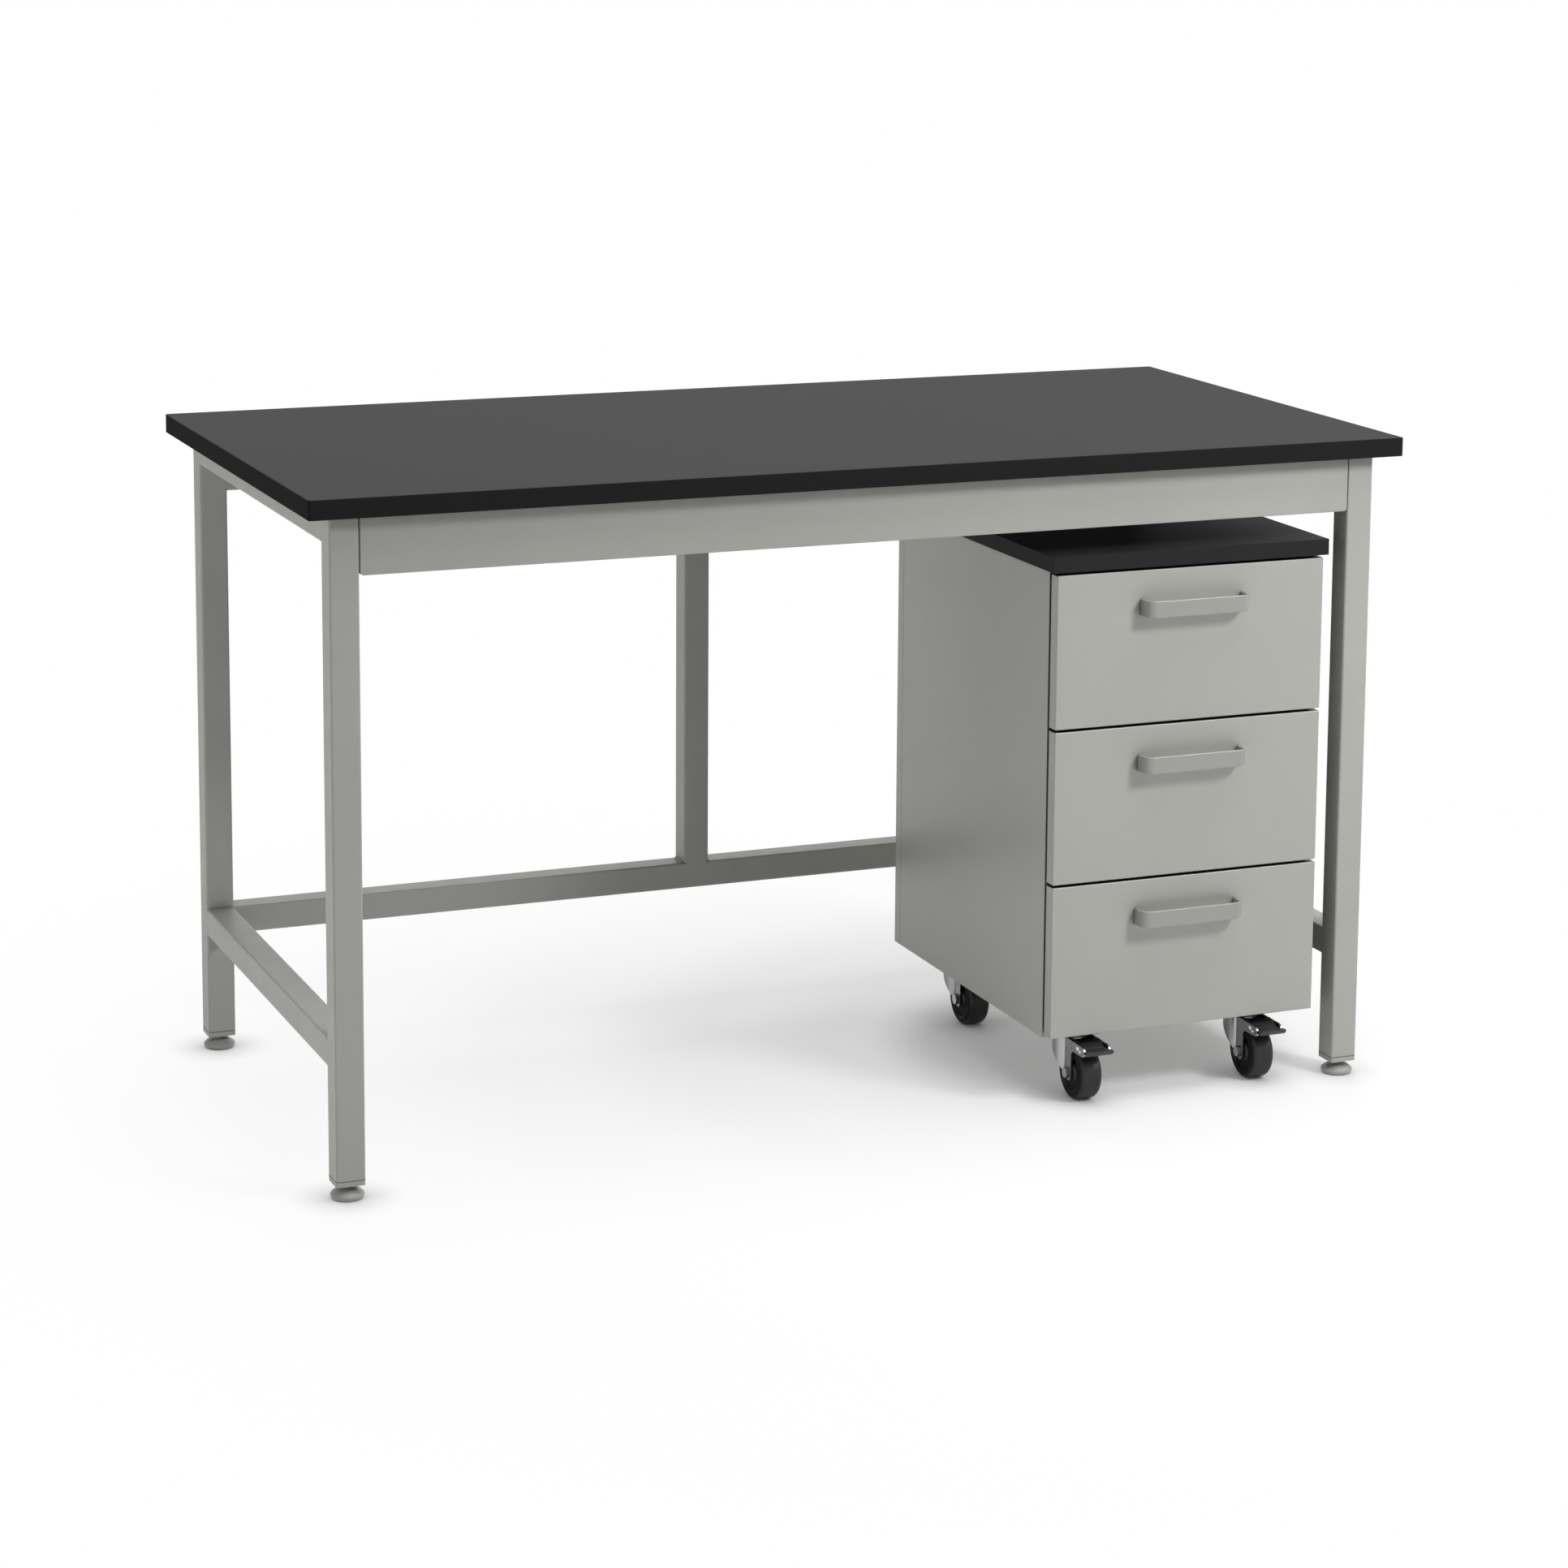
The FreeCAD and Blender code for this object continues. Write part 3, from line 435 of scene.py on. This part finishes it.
WELD_WIDTH, WELD_REST, WELD_END_GAP = 0.0042, 0.0008, 0.0028
WELD_PROUD, WELD_DEPTH = 0.00005, 0.0025
BEAD_RADIUS, BEAD_SINK, BEAD_END_GAP = 0.0024, 0.0003, 0.004
BEAD_SWELL, BEAD_WAVE = 0.12, 2.4
BEAD_RINGS, BEAD_ARC = 24, 5
TUBE_CORNER_RADIUS, TUBE_CORNER_STEPS = 0.003, 4
CAP_SEAM_HEIGHT = 0.0009
BACK_SEAM_WIDTH, BACK_SEAM_SINK, BACK_SEAM_DEPTH = 0.0012, 0.0002, 0.0012

leg_low, leg_high = node_box("front_right_leg")
LEG_OUT_X, LEG_IN_X = leg_high.x, leg_low.x
LEG_OUT_Y, LEG_IN_Y = -leg_low.y, -leg_high.y


def weld_span(face, outward):
    """From inside the groove to a hair proud of the face."""
    return sorted((face + outward * WELD_PROUD, face - outward * WELD_DEPTH))


def groove_span(joint, towards):
    return sorted((joint - towards * WELD_REST, joint + towards * WELD_WIDTH))


def upright_span(name):
    """The height of a weld on the side of a tube."""
    low_corner, high_corner = node_box(name)
    return shortened(low_corner.z, high_corner.z, WELD_END_GAP)


def bead(points, faces, x, side, z):
    """Adds a small uneven weld bead along Y, in the corner on top of the rear stretcher."""
    start = len(points)
    first, last = shortened(LEG_IN_Y, LEG_OUT_Y, BEAD_END_GAP)
    for ring in range(BEAD_RINGS + 1):
        y = first + (last - first) * ring / BEAD_RINGS
        size = BEAD_RADIUS * (1.0 + BEAD_SWELL * math.sin(BEAD_WAVE * ring))
        for step in range(BEAD_ARC):
            angle = 0.5 * math.pi * step / (BEAD_ARC - 1)
            points.append((x + side * (size * math.cos(angle) - BEAD_SINK), y,
                           z + size * math.sin(angle) - BEAD_SINK))
    for ring in range(BEAD_RINGS):
        for step in range(BEAD_ARC - 1):
            near = start + ring * BEAD_ARC + step
            face = (near, near + BEAD_ARC, near + BEAD_ARC + 1, near + 1)
            faces.append(face if side > 0 else tuple(reversed(face)))


def make_ground_welds():
    """Fills the grooves where tubes meet flush, as welds that are ground level."""
    points, faces = [], []
    x_faces = ((LEG_OUT_X, 1), (LEG_IN_X, -1))
    y_faces = ((LEG_OUT_Y, 1), (LEG_IN_Y, -1))
    for side in (-1, 1):
        for face, outward in x_faces:
            for end in (-1, 1):
                for name in ("left_stretcher", "left_top_rail"):
                    box_faces(points, faces, (weld_span(side * face, side * outward),
                                              groove_span(end * LEG_IN_Y, end), upright_span(name)))
        for face, outward in y_faces:
            for name in ("rear_stretcher", "rear_top_rail"):
                box_faces(points, faces, (groove_span(side * LEG_IN_X, side), weld_span(face, outward),
                                          upright_span(name)))
    post_low, post_high = node_box("rear_mid_post")
    for face, outward in y_faces:
        for joint, towards in ((post_low.z, -1), (post_high.z, 1)):
            box_faces(points, faces, (shortened(post_low.x, post_high.x, WELD_END_GAP),
                                      weld_span(face, outward), groove_span(joint, towards)))
    bead(points, faces, post_low.x, -1, post_low.z)
    bead(points, faces, post_high.x, 1, post_low.z)
    add_piece("ground_welds", points, faces, frame_paint, "table")


def tube_ring(points, faces, low_corner, high_corner, z_span):
    """Adds a thin band round a square tube with rounded edges."""
    inset = Vector((TUBE_CORNER_RADIUS, TUBE_CORNER_RADIUS, 0.0))
    near, far = low_corner + inset, high_corner - inset
    reach = TUBE_CORNER_RADIUS + WELD_PROUD
    outline = []
    for x, y, quarter in ((far.x, far.y, 0), (near.x, far.y, 1), (near.x, near.y, 2), (far.x, near.y, 3)):
        for step in range(TUBE_CORNER_STEPS + 1):
            angle = 0.5 * math.pi * (quarter + step / TUBE_CORNER_STEPS)
            outline.append((x + reach * math.cos(angle), y + reach * math.sin(angle)))
    start, count = len(points), len(outline)
    for z in z_span:
        points.extend((x, y, z) for x, y in outline)
    for step in range(count):
        after = (step + 1) % count
        faces.append((start + step, start + after, start + count + after, start + count + step))


def make_seams():
    """Fine dark lines of painted shadow at the joints of the caps under the legs and of the pedestal's back
    board.
    """
    points, faces = [], []
    for place in CORNERS:
        low_corner, high_corner = node_box(place + "_leg")
        tube_ring(points, faces, low_corner, high_corner, span_about(low_corner.z, CAP_SEAM_HEIGHT))
    add_piece("end_cap_seams", points, faces, seam_dark, "table")
    points, faces = [], []
    low_corner, high_corner = node_box("pedestal_back")
    for face, inward in ((low_corner.x, 1), (high_corner.x, -1)):
        box_faces(points, faces, (sorted((face + inward * BACK_SEAM_SINK, face + inward * BACK_SEAM_DEPTH)),
                                  span_about(low_corner.y, BACK_SEAM_WIDTH), (low_corner.z, high_corner.z)))
    add_piece("pedestal_back_seams", points, faces, seam_dark, "pedestal")


make_ground_welds()
make_seams()


# Camera, as fitted to the photo: pixels of its square frame, degrees and metres

FRAME_PX = 1932.0
FOCAL_PX = 4882.4
CENTRE_X_PX, CENTRE_Y_PX = 1060.0, 560.0
YAW, PITCH, ROLL = (math.radians(angle) for angle in (22.85, 8.97, 0.54))
CAMERA_PLACE = (-1.9815, -4.9923, 1.7087)
SENSOR_WIDTH = 36.0
VIEW_END = 200.0


def make_camera():
    ahead = Vector((math.sin(YAW) * math.cos(PITCH), math.cos(YAW) * math.cos(PITCH), -math.sin(PITCH)))
    level = Vector((math.cos(YAW), -math.sin(YAW), 0.0))
    up = level.cross(ahead)
    right = level * math.cos(ROLL) + up * math.sin(ROLL)
    top = up * math.cos(ROLL) - level * math.sin(ROLL)
    data = bpy.data.cameras.new("camera")
    data.sensor_width = SENSOR_WIDTH
    data.lens = FOCAL_PX / FRAME_PX * SENSOR_WIDTH
    data.shift_x = -(CENTRE_X_PX - FRAME_PX / 2) / FRAME_PX
    data.shift_y = (CENTRE_Y_PX - FRAME_PX / 2) / FRAME_PX
    data.clip_end = VIEW_END
    camera = bpy.data.objects.new("camera", data)
    turn = Matrix((right, top, -ahead)).transposed().to_4x4()
    camera.matrix_world = Matrix.Translation(CAMERA_PLACE) @ turn
    scene.collection.objects.link(camera)
    scene.camera = camera


# Light and floor, in metres and watts

FLOOR_HALF = 30.0
FLOOR_CENTRE = (0.46, -0.08, 0.0)
FLOOR_REACH = 2.2
# Distances from the floor's centre, each with the share of plain white light that is seen there
FLOOR_GLOW = ((0.22, 0.24), (0.34, 0.50), (0.55, 0.60), (0.8, 0.76), (1.1, 0.86), (1.5, 0.97), (1.8, 1.0))
FLOOR_GREY, FLOOR_ROUGHNESS, FLOOR_SHINE = 0.9, 0.8, 0.1
CONTACT_REACH, CONTACT_SAMPLES = 0.06, 16
WHITE = (1.0, 1.0, 1.0, 1.0)
SOFT_WHITE = (1.0, 1.0, 0.99, 1.0)
WORLD_FRONT, WORLD_BACK = 0.03, 0.28


def area_light(name, place, target, size, power):
    data = bpy.data.lights.new(name, "AREA")
    data.shape = "RECTANGLE"
    data.size, data.size_y = size
    data.energy = power
    light = bpy.data.objects.new(name, data)
    light.location = place
    light.rotation_euler = (Vector(target) - Vector(place)).to_track_quat("-Z", "Y").to_euler()
    scene.collection.objects.link(light)
    return light


def seen_directly(tree):
    """1 for what the camera sees, also by reflection or through glass, and 0 for all other light."""
    path = tree.nodes.new("ShaderNodeLightPath")
    value = path.outputs["Is Camera Ray"]
    for name in ("Is Glossy Ray", "Is Transmission Ray"):
        either = tree.nodes.new("ShaderNodeMath")
        either.operation = "MAXIMUM"
        tree.links.new(value, either.inputs[0])
        tree.links.new(path.outputs[name], either.inputs[1])
        value = either.outputs["Value"]
    return value


def mix_shaders(tree, share, first, second):
    mix = tree.nodes.new("ShaderNodeMixShader")
    tree.links.new(share, mix.inputs["Fac"])
    tree.links.new(first, mix.inputs[1])
    tree.links.new(second, mix.inputs[2])
    return mix.outputs["Shader"]


def make_world():
    """Soft light that is stronger from behind the table, on a plain white background."""
    world = bpy.data.worlds.new("studio")
    scene.world = world
    world.use_nodes = True
    tree = world.node_tree
    background = tree.nodes["Background"]
    background.inputs["Color"].default_value = SOFT_WHITE
    place = tree.nodes.new("ShaderNodeTexCoord")
    split = tree.nodes.new("ShaderNodeSeparateXYZ")
    tree.links.new(place.outputs["Generated"], split.inputs["Vector"])
    strength = map_range(tree, split.outputs["Y"], (-1.0, 1.0), (WORLD_FRONT, WORLD_BACK))
    tree.links.new(strength, background.inputs["Strength"])
    white = tree.nodes.new("ShaderNodeBackground")
    white.inputs["Color"].default_value = WHITE
    white.inputs["Strength"].default_value = 1.0
    surface = mix_shaders(tree, seen_directly(tree), background.outputs["Background"],
                          white.outputs["Background"])
    tree.links.new(surface, tree.nodes["World Output"].inputs["Surface"])


def floor_glow_share(tree):
    """How much of the floor's look is plain white light, by the distance from the floor's centre."""
    place = tree.nodes.new("ShaderNodeTexCoord")
    away = tree.nodes.new("ShaderNodeVectorMath")
    away.operation = "DISTANCE"
    away.inputs[1].default_value = FLOOR_CENTRE
    tree.links.new(place.outputs["Object"], away.inputs[0])
    reach = tree.nodes.new("ShaderNodeMath")
    reach.operation = "DIVIDE"
    reach.inputs[1].default_value = FLOOR_REACH
    tree.links.new(away.outputs["Value"], reach.inputs[0])
    fade = tree.nodes.new("ShaderNodeValToRGB")
    fade.color_ramp.interpolation = "EASE"
    stops = fade.color_ramp.elements
    while len(stops) < len(FLOOR_GLOW):
        stops.new(1.0)
    for stop, (distance, strength) in zip(stops, FLOOR_GLOW):
        stop.position = distance / FLOOR_REACH
        stop.color = (strength, strength, strength, 1.0)
    tree.links.new(reach.outputs["Value"], fade.inputs["Fac"])
    share = tree.nodes.new("ShaderNodeMath")
    share.operation = "MULTIPLY"
    tree.links.new(fade.outputs["Color"], share.inputs[0])
    tree.links.new(seen_directly(tree), share.inputs[1])
    return share.outputs["Value"]


def make_floor():
    """A white floor that turns to plain white light away from the table, with painted contact shadows near
    things that stand on it.
    """
    mesh = bpy.data.meshes.new("floor")
    corners = [(x * FLOOR_HALF, y * FLOOR_HALF, 0) for x, y in ((-1, -1), (1, -1), (1, 1), (-1, 1))]
    mesh.from_pydata(corners, [], [(0, 1, 2, 3)])
    floor = bpy.data.objects.new("floor", mesh)
    scene.collection.objects.link(floor)
    material = new_material("white floor", (FLOOR_GREY, FLOOR_GREY, FLOOR_GREY), FLOOR_ROUGHNESS,
                            specular=FLOOR_SHINE)
    tree = material.node_tree
    glow = tree.nodes.new("ShaderNodeEmission")
    glow.inputs["Strength"].default_value = 1.0
    # Painted contact shadow: the white light is darker near things that stand on the floor
    contact = tree.nodes.new("ShaderNodeAmbientOcclusion")
    contact.samples = CONTACT_SAMPLES
    contact.inputs["Distance"].default_value = CONTACT_REACH
    tree.links.new(contact.outputs["Color"], glow.inputs["Color"])
    surface = mix_shaders(tree, floor_glow_share(tree), tree.nodes["Principled BSDF"].outputs["BSDF"],
                          glow.outputs["Emission"])
    tree.links.new(surface, tree.nodes["Material Output"].inputs["Surface"])
    mesh.materials.append(material)


make_camera()
make_world()
make_floor()
area_light("key softbox", place=(1.6, -2.15, 2.1), target=(0.4, -0.3, 0.5), size=(0.6, 0.6), power=46.0)
left = area_light("left softbox", place=(-2.5, -0.5, 0.5), target=(-0.5, 0.0, 0.4), size=(1.0, 1.0),
                  power=7.5)
area_light("overhead softbox", place=(0.5, -0.6, 3.8), target=(0.2, 0.0, 0.0), size=(3.0, 3.0), power=106.0)
back = area_light("back softbox", place=(0.9, 3.6, 2.2), target=(0.2, 0.2, 0.2), size=(3.6, 2.0), power=80.0)
for light in (left, back):
    light.visible_glossy = False
